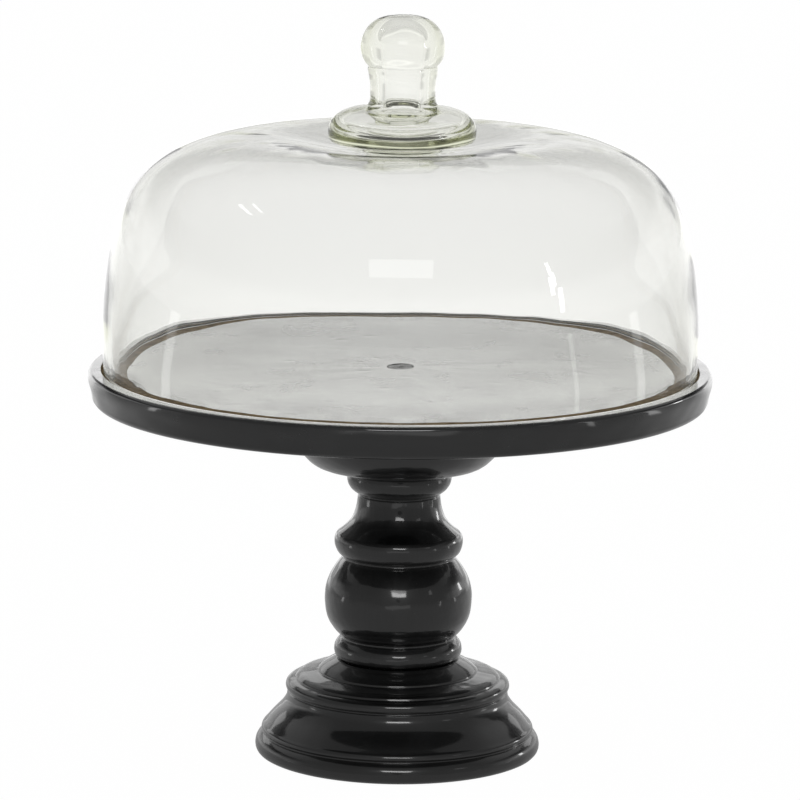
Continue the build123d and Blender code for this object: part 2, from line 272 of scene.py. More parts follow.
def wood_shift(seed, rmin, zmin=-1e9, zmax=1e9, amount=0.10, ripple=0.025, long=26.0):
    low = Waves(seed, 14, long, 0.45, 40.0)
    fine = Waves(seed + 7, 10, 7.0, 0.5, 40.0)
    g = np.random.default_rng(seed + 3)
    oval, ov_ph = g.uniform(0.4, 0.8), g.uniform(0, math.pi)

    def f(r, z, t, nr, nz):
        s = z * 0.9 + r * 1.1
        mask = smooth(rmin, rmin + 1.2, r)
        mask = mask * smooth(zmin - 0.01, zmin + 1.0, z) * (1 - smooth(zmax - 1.0, zmax + 0.01, z))
        tool = np.sin(s * 2 * math.pi / 1.55 + 2.0 * np.sin(s / 5.0)) * (0.55 + 0.45 * np.sin(s / 3.1 + 1.0))
        return mask * (amount * 0.5 * low(t, s) + amount * 0.16 * fine(t, s) + ripple * tool + 0.06 * oval * np.cos(2 * t + ov_ph))

    return f


foot = lathe("foot_turned", resample(soften(foot_profile, 0.16, True), 250, 2.4, 0.12, 0.006), LONG_FOOT,
             wood_shift(11, 20.0, 0.2, 47.0, 0.10), closed=True)
column = lathe("column_turned", resample(soften(column_profile, 0.16), 300, 2.4, 0.12, 0.006), LONG_COLUMN,
               wood_shift(23, 14.0, 47.7, 143.2, 0.10))
flange = lathe("flange_turned", resample(soften(flange_profile, 0.16, True), 130, 2.4, 0.12, 0.006), LONG_FLANGE,
               wood_shift(31, 34.0, 143.6, 175.9, 0.10), closed=True)


def plate_shift(seed):
    low = Waves(seed, 16, 55.0, 0.5, 110.0)
    fine = Waves(seed + 9, 18, 13.0, 0.5, 120.0)
    dents = Waves(seed + 4, 20, 24.0, 0.5, 152.0)
    g = np.random.default_rng(seed + 1)
    pits = [(g.uniform(20, 132), g.uniform(0, 2 * math.pi), g.uniform(0.35, 0.9), g.uniform(0.05, 0.16)) for _ in range(46)]

    def f(r, z, t, nr, nz):
        side = smooth(146.2, 150.0, r) * smooth(176.6, 178.5, z) * (1 - smooth(191.0, 192.2, z))
        top = smooth(190.6, 190.9, z) * (z < 191.2) * (1 - smooth(133.0, 136.0, r)) * smooth(8.0, 12.0, r) * (nz > 0.9)
        rim = smooth(192.0, 192.25, z) * (nz > 0.5)
        s = r
        d = side * (0.055 * dents(t, z * 2.0) + 0.02 * fine(t, z))
        x, y = r * np.cos(t), r * np.sin(t)
        # the floor of the recess is a planed board, with a very slight cup and softened grain ridges along X
        grain = np.sin(y * 0.9 + 1.3 * np.sin(x / 37.0) + 0.8 * np.sin(y / 6.0)) * (0.6 + 0.4 * np.sin(y / 11.0 + x / 90.0))
        d = d + top * (0.012 * low(t, s) + 0.003 * grain)
        d = d + rim * (0.015 * dents(t, s) + 0.006 * fine(t, s))
        for pr, pt, rad, dep in pits:
            q = ((x - pr * math.cos(pt)) / (rad * 2.6)) ** 2 + ((y - pr * math.sin(pt)) / rad) ** 2
            d = d - top * dep * np.exp(-q)
        return d

    return f


plate = lathe("plate_turned", resample(soften(plate_profile, 0.14, True), 300, 2.2, 0.10, 0.004), LONG_PLATE,
              plate_shift(47), closed=True)

# the plug over the screw is sunk a little and dished, with a chipped rim
plug_profile = join(
    line([(0.0, 188.82), (6.46, 188.82), (6.46, 190.5)]),
    line([(6.46, 190.5), (6.1, 190.86), (5.2, 190.80)]),
    cubic([(5.2, 190.80), (3.6, 190.62), (1.8, 190.50), (0.0, 190.46)]),
)
plug_waves = Waves(5, 12, 5.0, 0.5, 5.0)


def plug_shift(r, z, t, nr, nz):
    return smooth(189.4, 190.2, z) * (nz > 0.2) * (0.10 * plug_waves(t, r) - 0.12 * smooth(4.6, 6.3, r) * (0.5 + 0.5 * np.sin(3 * t + 1.0) * np.sin(7 * t)))


plug = lathe("plate_plug_sunk", resample(soften(plug_profile, 0.12), 90, 0.6, 0.08, 0.004), 128, plug_shift)

# the felt is a cut disc whose edge frays slightly
felt_profile = join(
    line([(0.0, 2.0), (59.0, 2.0)]),
    cubic([(59.0, 2.0), (59.45, 1.85), (59.5, 1.2), (59.4, 0.6), (59.0, 0.42)]),
    line([(59.0, 0.42), (0.0, 0.42)]),
)
felt_a = Waves(71, 26, 3.2, 0.6, 59.0)
felt_b = Waves(72, 20, 14.0, 0.5, 40.0)


def felt_shift(r, z, t, nr, nz):
    low = nz < -0.3
    edge = smooth(58.6, 59.4, r)
    return low * (0.05 * felt_b(t, r) - 0.04) + edge * (0.10 * felt_a(t, z) - 0.14)


felt = lathe("base_felt_disc", resample(soften(felt_profile, 0.12), 120, 2.2, 0.08, 0.004), 300, felt_shift)

# ------------------------------------------------------------------- glass
knob_head = cubic([(16.9, 340.8), (18.2, 342.2), (19.9, 346.0), (20.4, 350.4), (19.5, 355.4), (16.9, 359.9), (12.6, 363.3), (6.6, 365.1), (0, 365.5)])[::-1]
stem = cubic([(16.0, 323.8), (15.8, 327.0), (16.0, 331.5), (16.6, 336.0), (17.1, 339.6), (16.9, 340.8)])[::-1]
collar = cubic([(33.0, 303.6), (35.1, 304.7), (36.0, 307.3), (35.9, 310.6), (34.5, 314.0), (31.6, 317.0), (27.6, 319.1), (23.2, 320.3), (19.2, 321.0), (17.0, 321.9), (16.0, 323.8)])[::-1]
neck = join(
    line([(33.0, 303.6), (16.9, 303.6), (16.9, 302.6)]),
    cubic([(16.9, 302.6), (17.2, 301.4), (18.1, 300.4), (19.6, 299.9)]),
)
wall_out = cubic([(144.4, 191.05), (144.85, 191.35), (144.98, 192.1), (145.05, 195.0), (145.2, 200.0), (145.4, 207.0), (145.2, 219.0), (144.4, 231.0), (143.0, 242.5), (141.1, 253.5), (138.4, 264.0), (134.4, 274.0), (128.8, 282.9), (121.6, 290.4), (112.8, 296.4), (102.6, 300.9), (91.0, 304.0), (78.5, 305.6), (66.0, 305.6), (53.0, 304.1), (40.0, 301.9), (28.0, 300.2), (19.6, 299.9)])[::-1]
lip = line([(144.4, 191.05), (140.8, 191.05)])
wall_in = cubic([(140.8, 191.05), (140.38, 191.3), (140.3, 191.9), (140.3, 193.6), (140.45, 197.0), (140.6, 202.0), (140.7, 208.0), (140.65, 219.0), (140.2, 231.0), (139.2, 242.2), (137.4, 252.8), (134.7, 263.0), (131.0, 272.6), (126.0, 280.9), (119.3, 288.0), (110.9, 293.7), (101.2, 297.9), (90.1, 300.8), (78.2, 302.3), (66.0, 302.3), (53.3, 300.7), (40.5, 298.3), (29.0, 296.6), (20.5, 296.3), (14.0, 296.3), (7.0, 296.5), (0.0, 296.7)])
glass_profile = join(knob_head, stem, collar, neck, wall_out, lip, wall_in)
# the sealed hollow inside the collar, the stem and the head of the knob
hollow_profile = join(
    cubic([(0.0, 306.9), (8.0, 306.9), (16.5, 307.1), (23.5, 307.5), (27.7, 308.8), (28.5, 311.2), (26.0, 313.6), (21.0, 315.2), (15.5, 316.2), (11.4, 317.9), (9.3, 320.6), (8.8, 323.8)]),
    cubic([(8.8, 323.8), (8.7, 329.5), (8.9, 335.5), (9.4, 340.6), (10.5, 345.0), (11.2, 349.4), (10.7, 353.2), (8.3, 356.7), (4.4, 358.8), (0.0, 359.4)]),
)

g_in = Waves(101, 26, 34.0, 0.5, 135.0)
g_out = Waves(103, 20, 70.0, 0.5, 140.0)
g_low = Waves(107, 30, 15.0, 0.6, 138.0)
g_knob = Waves(104, 14, 22.0, 0.5, 18.0)


def glass_shift(r, z, t, nr, nz):
    inner = (nr < 0) * smooth(191.8, 195.0, z) * (z < 303.0) * smooth(12.0, 24.0, r)
    top_in = (nz < 0) * smooth(250.0, 285.0, z) * (z < 303.0) * smooth(12.0, 24.0, r)
    inner = np.maximum(inner, top_in)
    outer = (1 - (inner > 0)) * smooth(191.6, 200.0, z) * (z < 303.3) * smooth(22.0, 34.0, r)
    knob = smooth(304.5, 308.0, z)
    # the wall is truest in the middle of its height and more uneven where it was pressed, by the lip
    base = 1 - smooth(194.0, 210.0, z)
    s = z * 1.0 + (150 - r) * 0.9
    d = inner * ((0.018 + 0.02 * base) * g_in(t, s) + 0.030 * base * g_low(t, s)) + outer * ((0.016 + 0.01 * base) * g_out(t, s))
    return d + knob * 0.05 * g_knob(t, z)


glass = lathe("glass_dome_blown", resample(soften(glass_profile, 0.10), 276, 3.0, 0.10, 0.010), 320, glass_shift)
hollow = lathe("glass_hollow", resample(soften(hollow_profile, 0.22), 72, 2.0, 0.12, 0.010), 128,
               lambda r, z, t, nr, nz: 0.05 * g_knob(t + 1.0, z + 7.0) * smooth(2.0, 6.0, r))
# the hollow is a second wall of the same glass, so its faces look into the void
hollow.data.flip_normals()
bm = bmesh.new()
bm.from_mesh(glass.data)
bm.from_mesh(hollow.data)
bm.to_mesh(glass.data)
bm.free()
glass.data.polygons.foreach_set("use_smooth", [True] * len(glass.data.polygons))
glass.data.update()
bpy.data.objects.remove(hollow, do_unlink=True)


# --------------------------------------------------------------- materials
def new_material(name):
    m = bpy.data.materials.new(name)
    m.use_nodes = True
    nt = m.node_tree
    nt.nodes.clear()
    out = nt.nodes.new("ShaderNodeOutputMaterial")
    return m, nt, out


class Net:
    def __init__(self, nt):
        self.nt = nt

    def node(self, kind, **kw):
        n = self.nt.nodes.new(kind)
        for k, v in kw.items():
            setattr(n, k, v)
        return n

    def link(self, a, b):
        self.nt.links.new(a, b)

    def math(self, op, a, b=None, clamp=False):
        n = self.node("ShaderNodeMath", operation=op, use_clamp=clamp)
        for i, v in enumerate((a, b)):
            if v is None:
                continue
            if isinstance(v, (int, float)):
                n.inputs[i].default_value = v
            else:
                self.link(v, n.inputs[i])
        return n.outputs[0]

    def mapr(self, v, a, b, c, d, kind="SMOOTHSTEP"):
        n = self.node("ShaderNodeMapRange", interpolation_type=kind)
        self.link(v, n.inputs[0])
        for i, x in enumerate((a, b, c, d)):
            n.inputs[1 + i].default_value = x
        return n.outputs[0]

    def mix(self, fac, a, b):
        n = self.node("ShaderNodeMix", data_type="RGBA")
        if isinstance(fac, (int, float)):
            n.inputs[0].default_value = fac
        else:
            self.link(fac, n.inputs[0])
        for i, v in ((6, a), (7, b)):
            if isinstance(v, tuple):
                n.inputs[i].default_value = (*v, 1.0) if len(v) == 3 else v
            else:
                self.link(v, n.inputs[i])
        return n.outputs[2]

    def coords(self):
        return self.node("ShaderNodeTexCoord").outputs["Object"]

    def scaled(self, vec, scale, loc=(0, 0, 0)):
        n = self.node("ShaderNodeMapping")
        self.link(vec, n.inputs[0])
        n.inputs[1].default_value = loc
        n.inputs[3].default_value = scale
        return n.outputs[0]

    def noise(self, vec, scale, detail=4.0, rough=0.55, distortion=0.0):
        n = self.node("ShaderNodeTexNoise")
        self.link(vec, n.inputs["Vector"])
        n.inputs["Scale"].default_value = scale
        n.inputs["Detail"].default_value = detail
        n.inputs["Roughness"].default_value = rough
        n.inputs["Distortion"].default_value = distortion
        return n.outputs["Fac"]

    def voronoi(self, vec, scale, feature="F1", rand=1.0):
        n = self.node("ShaderNodeTexVoronoi", feature=feature)
        self.link(vec, n.inputs["Vector"])
        n.inputs["Scale"].default_value = scale
        n.inputs["Randomness"].default_value = rand
        return n

    def bump(self, height, distance, strength=1.0, normal=None):
        n = self.node("ShaderNodeBump")
        n.inputs["Strength"].default_value = strength
        n.inputs["Distance"].default_value = distance
        self.link(height, n.inputs["Height"])
        if normal is not None:
            self.link(normal, n.inputs["Normal"])
        return n.outputs["Normal"]


BLACK = (0.0022, 0.0023, 0.0024)
GREY = (0.0105, 0.0110, 0.0116)


def black_wood(name, axis, plate_marks=False, seed=0.0):
    """Black lacquer over turned hardwood: open grain lying along axis, pore dashes, soft rubbed patches."""
    m, nt, out = new_material(name)
    g = Net(nt)
    co = g.coords()
    stretch = {"X": (0.07, 1.0, 1.0), "Z": (1.0, 1.0, 0.07)}[axis]
    along = g.scaled(co, stretch, (seed, seed * 0.7, seed * 1.3))
    streak = g.noise(along, 900.0, 5.0, 0.6, 0.3)
    broad = g.noise(along, 160.0, 4.0, 0.55, 0.6)
    patch = g.noise(g.scaled(co, (1, 1, 1), (seed, 0, 0)), 38.0, 4.0, 0.6, 0.4)
    fine = g.noise(co, 1400.0, 3.0, 0.6)
    short = {"X": (0.16, 1.0, 1.0), "Z": (1.0, 1.0, 0.16)}[axis]
    pore_v = g.voronoi(g.scaled(co, short, (seed * 0.3, 0, 0)), 620.0)
    pore_gate = g.mapr(g.noise(along, 300.0, 3.0, 0.6), 0.52, 0.62, 0.0, 1.0)
    pore = g.math("MULTIPLY", g.mapr(pore_v.outputs["Distance"], 0.10, 0.26, 1.0, 0.0), pore_gate)

    tone = g.math("ADD", g.math("MULTIPLY", broad, 0.55), g.math("MULTIPLY", streak, 0.45))
    rub = g.mapr(patch, 0.50, 0.68, 0.0, 1.0)
    base = g.mix(g.mapr(tone, 0.40, 0.62, 0.0, 1.0), BLACK, (0.0048, 0.0050, 0.0053))
    base = g.mix(g.math("MULTIPLY", rub, 0.5), base, GREY)
    base = g.mix(g.math("MULTIPLY", pore, 0.7), base, (0.001, 0.001, 0.001))

    rough = g.math("ADD", 0.22 if plate_marks else 0.34, g.math("MULTIPLY", g.math("SUBTRACT", broad, 0.5), 0.08 if plate_marks else 0.20))
    rough = g.math("ADD", rough, g.math("MULTIPLY", rub, 0.07))
    rough = g.math("ADD", rough, g.math("MULTIPLY", g.math("SUBTRACT", fine, 0.5), 0.01 if plate_marks else 0.05))
    height = g.math("ADD", g.math("MULTIPLY", streak, 0.55), g.math("MULTIPLY", broad, 0.6))
    height = g.math("SUBTRACT", height, g.math("MULTIPLY", pore, 1.1))

    if plate_marks:
        sep = g.node("ShaderNodeSeparateXYZ")
        g.link(co, sep.inputs[0])
        x, y, z = sep.outputs
        r = g.math("SQRT", g.math("ADD", g.math("MULTIPLY", x, x), g.math("MULTIPLY", y, y)))
        # bare turned wood in the corner of the recess: a ring on the floor, the recess wall, and the seam by the rim
        low = g.mapr(z, 0.19070, 0.19080, 0.0, 1.0, "LINEAR")
        upper = g.mapr(z, 0.19150, 0.19180, 1.0, 0.0, "LINEAR")
        wob = g.math("MULTIPLY", g.math("SUBTRACT", g.noise(co, 60.0, 3.0), 0.5), 0.0008)
        # the ring was turned a little off the plate's centre
        y2 = g.math("SUBTRACT", y, 0.0017)
        rw = g.math("ADD", g.math("SQRT", g.math("ADD", g.math("MULTIPLY", x, x), g.math("MULTIPLY", y2, y2))), wob)
        ring = g.mapr(rw, 0.1338, 0.1344, 0.0, 1.0)
        wall = g.mapr(r, 0.14640, 0.14655, 1.0, 0.0, "LINEAR")
        bare = g.math("MULTIPLY", g.math("MULTIPLY", low, upper), g.math("MULTIPLY", ring, wall))
        turned = g.math("SINE", g.math("MULTIPLY", rw, 2 * math.pi / 0.0013))
        turned = g.mapr(turned, -1.0, 1.0, 0.0, 1.0, "LINEAR")
        worn = g.noise(co, 220.0, 4.0, 0.6)
        brown = g.mix(g.mapr(worn, 0.35, 0.65, 0.0, 1.0), (0.17, 0.125, 0.075), (0.33, 0.25, 0.15))
        brown = g.mix(g.math("MULTIPLY", turned, 0.45), brown, (0.080, 0.060, 0.038))
        base = g.mix(bare, base, brown)
        rough = g.math("ADD", rough, g.math("MULTIPLY", bare, 0.40))
        # small scratches and specks on the floor of the recess
        spot = g.voronoi(g.scaled(co, (0.22, 1.0, 1.0), (0.3, 0.1, 0)), 46.0)
        pick = g.mapr(spot.outputs["Distance"], 0.012, 0.030, 1.0, 0.0)
        floor_area = g.mapr(r, 0.1320, 0.1335, 1.0, 0.0)
        # lighter grey on the floor inside the bare ring, in patches: partly dust, partly a painted sheen that stands in
        # for the floor's bright grazing reflection
        dust_and_sheen = g.math("MULTIPLY", g.mapr(rw, 0.1330, 0.1338, 1.0, 0.0), low)
        base = g.mix(g.math("MULTIPLY", dust_and_sheen, g.mapr(patch, 0.3, 0.7, 0.5, 1.0)), base, (0.032, 0.031, 0.027))
        mark = g.math("MULTIPLY", g.math("MULTIPLY", pick, floor_area), low)
        base = g.mix(g.math("MULTIPLY", mark, 0.85), base, (0.001, 0.001, 0.001))
        rough = g.math("ADD", rough, g.math("MULTIPLY", mark, 0.35))
        height = g.math("SUBTRACT", height, g.math("MULTIPLY", mark, 2.0))

    b = g.node("ShaderNodeBsdfPrincipled")
    g.link(base, b.inputs["Base Color"])
    g.link(g.math("ADD", rough, 0.0, True), b.inputs["Roughness"])
    b.inputs["IOR"].default_value = 1.5
    if plate_marks:
        # the lacquer stops at the bare ring
        lacquer = g.math("SUBTRACT", 1.0, bare)
        g.link(g.math("MULTIPLY", lacquer, 0.35), b.inputs["Specular IOR Level"])
        g.link(lacquer, b.inputs["Coat Weight"])
    else:
        b.inputs["Specular IOR Level"].default_value = 0.35
        b.inputs["Coat Weight"].default_value = 1.0
    b.inputs["Coat Roughness"].default_value = 0.05 if plate_marks else 0.09
    b.inputs["Coat IOR"].default_value = 1.7
    n = g.bump(height, 0.000006 if plate_marks else 0.00005, 0.3 if plate_marks else 0.6)
    g.link(n, b.inputs["Normal"])
    coat = g.bump(height, 0.000001 if plate_marks else 0.000014, 0.1 if plate_marks else 0.3)
    g.link(coat, b.inputs["Coat Normal"])
    g.link(b.outputs[0], out.inputs["Surface"])
    return m


def plug_material():
    m, nt, out = new_material("plug_wood")
    g = Net(nt)
    co = g.coords()
    end = g.noise(g.scaled(co, (0.3, 1, 1)), 1300.0, 5.0, 0.65, 0.2)
    pore = g.mapr(g.voronoi(co, 1500.0).outputs["Distance"], 0.15, 0.32, 1.0, 0.0)
    base = g.mix(g.mapr(end, 0.35, 0.65, 0.0, 1.0), (0.003, 0.003, 0.003), (0.012, 0.011, 0.010))
    base = g.mix(g.math("MULTIPLY", pore, 0.5), base, (0.002, 0.002, 0.002))
    b = g.node("ShaderNodeBsdfPrincipled")
    g.link(base, b.inputs["Base Color"])
    g.link(g.mapr(end, 0.3, 0.7, 0.42, 0.62, "LINEAR"), b.inputs["Roughness"])
    b.inputs["IOR"].default_value = 1.45
    height = g.math("SUBTRACT", end, g.math("MULTIPLY", pore, 0.8))
    g.link(g.bump(height, 0.00022, 0.9), b.inputs["Normal"])
    b.inputs["Coat Weight"].default_value = 0.7
    b.inputs["Coat Roughness"].default_value = 0.2
    b.inputs["Coat IOR"].default_value = 1.6
    g.link(b.outputs[0], out.inputs["Surface"])
    return m


def felt_material():
    m, nt, out = new_material("felt_black")
    g = Net(nt)
    co = g.coords()
    fibre = g.noise(co, 2600.0, 6.0, 0.75, 1.4)
    clump = g.noise(co, 320.0, 4.0, 0.6, 0.8)
    lint = g.mapr(g.noise(g.scaled(co, (0.4, 1, 1)), 900.0, 2.0, 0.5, 2.0), 0.70, 0.76, 0.0, 1.0)
    base = g.mix(g.mapr(fibre, 0.35, 0.68, 0.0, 1.0), (0.008, 0.008, 0.009), (0.040, 0.040, 0.042))
    base = g.mix(g.math("MULTIPLY", g.mapr(clump, 0.4, 0.7, 0.0, 1.0), 0.4), base, (0.022, 0.022, 0.024))
    base = g.mix(g.math("MULTIPLY", lint, 0.5), base, (0.13, 0.13, 0.13))
    b = g.node("ShaderNodeBsdfPrincipled")
    g.link(base, b.inputs["Base Color"])
    g.link(g.mapr(fibre, 0.3, 0.7, 0.85, 1.0, "LINEAR"), b.inputs["Roughness"])
    b.inputs["Sheen Weight"].default_value = 0.35
    b.inputs["Sheen Roughness"].default_value = 0.5
    b.inputs["Specular IOR Level"].default_value = 0.15
    height = g.math("ADD", fibre, g.math("MULTIPLY", clump, 0.8))
    g.link(g.bump(height, 0.00035, 1.0), b.inputs["Normal"])
    g.link(b.outputs[0], out.inputs["Surface"])
    return m


def steel_material():
    m, nt, out = new_material("zinc_steel")
    g = Net(nt)
    co = g.coords()
    cloud = g.noise(co, 420.0, 5.0, 0.6, 0.5)
    drawn = g.noise(g.scaled(co, (1, 1, 0.08)), 2600.0, 3.0, 0.6)
    speck = g.mapr(g.voronoi(co, 1800.0).outputs["Distance"], 0.10, 0.22, 1.0, 0.0)
    base = g.mix(g.mapr(cloud, 0.35, 0.65, 0.0, 1.0), (0.46, 0.47, 0.48), (0.62, 0.62, 0.60))
    base = g.mix(g.math("MULTIPLY", speck, 0.35), base, (0.25, 0.22, 0.18))
    b = g.node("ShaderNodeBsdfPrincipled")
    g.link(base, b.inputs["Base Color"])
    b.inputs["Metallic"].default_value = 1.0
    g.link(g.mapr(cloud, 0.3, 0.7, 0.28, 0.46, "LINEAR"), b.inputs["Roughness"])
    g.link(g.bump(g.math("ADD", drawn, g.math("MULTIPLY", cloud, 0.5)), 0.00004, 0.6), b.inputs["Normal"])
    g.link(b.outputs[0], out.inputs["Surface"])
    return m


def glass_material():
    m, nt, out = new_material("clear_glass")
    g = Net(nt)
    co = g.coords()
    wave = g.noise(g.scaled(co, (1.0, 1.0, 0.7)), 26.0, 2.0, 0.5, 0.4)
    cord_ = g.noise(g.scaled(co, (0.35, 0.35, 1.0)), 160.0, 2.0, 0.4, 0.6)
    b = g.node("ShaderNodeBsdfPrincipled")
    # the foot of the lip is ground flat, and its brown tint is a painted reflection of the bare wood ring it stands on,
    # seen in the ground face
    zsep = g.node("ShaderNodeSeparateXYZ")
    g.link(co, zsep.inputs[0])
    ground_and_painted_brown = g.mapr(zsep.outputs[2], 0.19112, 0.19130, 1.0, 0.0)
    g.link(g.mix(ground_and_painted_brown, (1.0, 1.0, 1.0), (0.34, 0.25, 0.14)), b.inputs["Base Color"])
    g.link(g.math("MULTIPLY", ground_and_painted_brown, 0.6), b.inputs["Roughness"])
    b.inputs["IOR"].default_value = 1.5
    b.inputs["Transmission Weight"].default_value = 1.0
    height = g.math("ADD", wave, g.math("MULTIPLY", cord_, 0.12))
    g.link(g.bump(height, 0.0002, 0.10), b.inputs["Normal"])
    g.link(b.outputs[0], out.inputs["Surface"])
    v = g.node("ShaderNodeVolumeAbsorption")
    v.inputs["Color"].default_value = (0.40, 0.44, 0.0, 1.0)
    v.inputs["Density"].default_value = 8.5
    g.link(v.outputs[0], out.inputs["Volume"])
    return m


def give(obj, mat):
    obj.data.materials.clear()
    obj.data.materials.append(mat)


wood_x = black_wood("black_wood_foot", "X", seed=3.1)
wood_f = black_wood("black_wood_flange", "X", seed=7.7)
wood_z = black_wood("black_wood_column", "Z", seed=1.9)
wood_p = black_wood("black_wood_plate", "X", plate_marks=True, seed=5.3)
give(foot, wood_x)
give(flange, wood_f)
give(column, wood_z)
give(plate, wood_p)
give(plug, plug_material())
give(felt, felt_material())
give(glass, glass_material())
steel = steel_material()
for n in ("plate_screw", "foot_screw", "foot_washer"):
    give(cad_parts[n], steel)

for obj, body, nodes, slot in (
    (foot, "stand", ("foot",), "black_wood"),
    (column, "stand", ("column",), "black_wood"),
    (flange, "stand", ("top_flange",), "black_wood"),
    (plate, "stand", ("plate",), "black_wood"),
    (plug, "stand", ("plate_plug",), "wood_plug"),
    (felt, "stand", ("base_felt",), "felt"),
    (glass, "dome", ("glass_dome", "knob_collar", "knob"), "clear_glass"),
):
    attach(obj, body)
    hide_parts(*nodes)

# ------------------------------------------------------- floor, world, light
bpy.ops.mesh.primitive_plane_add(size=30.0, location=(0, 0, -0.0002))
floor = bpy.context.active_object
floor.name = "studio_floor"
fm, fnt, fout = new_material("studio_floor")
g = Net(fnt)
lp = g.node("ShaderNodeLightPath")
diff = g.node("ShaderNodeBsdfDiffuse")
diff.inputs[0].default_value = (0.05, 0.05, 0.05, 1)
em = g.node("ShaderNodeEmission")
em.inputs[0].default_value = (1, 1, 1, 1)
fsep = g.node("ShaderNodeSeparateXYZ")
g.link(g.node("ShaderNodeNewGeometry").outputs["Position"], fsep.inputs[0])
fx, fy = fsep.outputs[0], fsep.outputs[1]
fr = g.math("MAXIMUM", g.math("SQRT", g.math("ADD", g.math("MULTIPLY", fx, fx), g.math("MULTIPLY", fy, fy))), 0.001)
toward = g.math("DIVIDE", fy, fr)


def sector(g, x, y, r, az, half, edge):
    """1 inside a sector of the floor at azimuth az (0 towards the camera's side, positive towards +X)."""
    a = math.radians(az)
    d = g.math("ADD", g.math("MULTIPLY", x, math.sin(a)), g.math("MULTIPLY", y, -math.cos(a)))
    c = g.math("DIVIDE", d, r)
    return g.mapr(c, math.cos(math.radians(half + edge)), math.cos(math.radians(max(half - edge, 0.0))), 0.0, 1.0)


# painted light in the floor's glow, for polished surfaces: bright behind, dim in front, with painted strips for the
# edges of the lights' reflections
near_ = g.mapr(toward, -0.3, 0.9, 0.29, 0.44)
afar = g.mapr(toward, 0.60, 0.96, 0.27, 1.30)
out_ = g.mapr(fr, 0.6, 1.3, 0.0, 1.0)
gloss = g.math("ADD", g.math("MULTIPLY", near_, g.math("SUBTRACT", 1.0, out_)), g.math("MULTIPLY", afar, out_))
far_ = g.mapr(fr, 0.55, 0.9, 0.0, 1.0)
for az_, half_, edge_, amt_ in ((-95.2, 2.3, 1.0, 1.7), (66.6, 0.9, 0.5, 1.5), (99.3, 2.3, 0.9, 1.5), (0.0, 20.0, 1.5, 0.30)):
    gloss = g.math("ADD", gloss, g.math("MULTIPLY", g.math("MULTIPLY", sector(g, fx, fy, fr, az_, half_, edge_), far_), amt_))
# what is seen through the glass: white, with two painted dark sectors at the sides, standing in for flags, that draw
# its outlines
dark_sides_painted = g.math("MAXIMUM", sector(g, fx, fy, fr, 90.0, 34.0, 12.0), sector(g, fx, fy, fr, -90.0, 34.0, 12.0))
dark_sides_painted = g.math("MULTIPLY", dark_sides_painted, g.math("MULTIPLY", g.mapr(fr, 1.1, 1.6, 0.0, 1.0), g.mapr(fr, 3.2, 3.9, 1.0, 0.0)))
through = g.math("SUBTRACT", 0.985, g.math("MULTIPLY", dark_sides_painted, 0.25))
glossy_or = g.node("ShaderNodeMix", data_type="FLOAT")
g.link(lp.outputs["Is Transmission Ray"], glossy_or.inputs[0])
g.link(gloss, glossy_or.inputs[2])
g.link(through, glossy_or.inputs[3])
cam_or = g.node("ShaderNodeMix", data_type="FLOAT")
g.link(lp.outputs["Is Camera Ray"], cam_or.inputs[0])
g.link(glossy_or.outputs[0], cam_or.inputs[2])
cam_or.inputs[3].default_value = 0.985
diff_or = g.node("ShaderNodeMix", data_type="FLOAT")
g.link(lp.outputs["Is Diffuse Ray"], diff_or.inputs[0])
g.link(cam_or.outputs[0], diff_or.inputs[2])
diff_or.inputs[3].default_value = 0.35
g.link(diff_or.outputs[0], em.inputs[1])
add = g.node("ShaderNodeAddShader")
g.link(diff.outputs[0], add.inputs[0])
g.link(em.outputs[0], add.inputs[1])
g.link(add.outputs[0], fout.inputs["Surface"])
floor.data.materials.append(fm)

world = bpy.data.worlds.new("studio")
scene.world = world
world.use_nodes = True
wnt = world.node_tree
wnt.nodes.clear()
g = Net(wnt)
wout = g.node("ShaderNodeOutputWorld")
tc = g.node("ShaderNodeTexCoord").outputs["Generated"]
sep = g.node("ShaderNodeSeparateXYZ")
g.link(tc, sep.inputs[0])
# behind the object the sweep fades upwards to a dark gap, above which a second sheet hangs with an uneven lower edge
z_ = sep.outputs[2]
torn = g.noise(g.scaled(tc, (1.0, 1.0, 0.35)), 15.0, 4.0, 0.6, 0.4)
soft_ = g.noise(g.scaled(tc, (1.0, 1.0, 3.0)), 9.0, 3.0, 0.55, 0.3)
ze = g.math("ADD", z_, g.math("MULTIPLY", g.math("SUBTRACT", torn, 0.5), 0.10))
rise = g.math("MULTIPLY", g.mapr(z_, 0.10, 0.34, 0.66, 0.02), g.mapr(soft_, 0.3, 0.7, 0.75, 1.25, "LINEAR"))
sheet = g.mapr(ze, 0.435, 0.460, 0.0, 0.34)
high_ = g.mapr(z_, 0.60, 0.95, 0.0, -0.12)
back_w = g.math("ADD", g.math("MAXIMUM", rise, sheet), high_)
facing = g.mapr(sep.outputs[1], -0.25, 0.55, 0.0, 1.0)
front_w = g.mapr(z_, 0.0, 0.9, 0.24, 0.20)
back = g.math("ADD", g.math("MULTIPLY", back_w, facing), g.math("MULTIPLY", front_w, g.math("SUBTRACT", 1.0, facing)))
cdot = g.math("ADD", g.math("MULTIPLY", sep.outputs[1], -0.978), g.math("MULTIPLY", sep.outputs[2], 0.208))
spot_ = g.mapr(cdot, 0.9955, 0.9985, 1.0, 0.12)
gloss_w = g.math("MULTIPLY", back, spot_)
near_h = g.mapr(g.math("ABSOLUTE", sep.outputs[2]), 0.12, 0.30, 1.0, 0.0)
trans_w = g.math("MAXIMUM", near_h, g.mapr(sep.outputs[1], -0.2, 0.6, 0.30, 0.80))
glow = g.math("MULTIPLY", g.mapr(z_, 0.11, 0.15, 0.0, 1.0), g.mapr(z_, 0.175, 0.24, 1.0, 0.0))
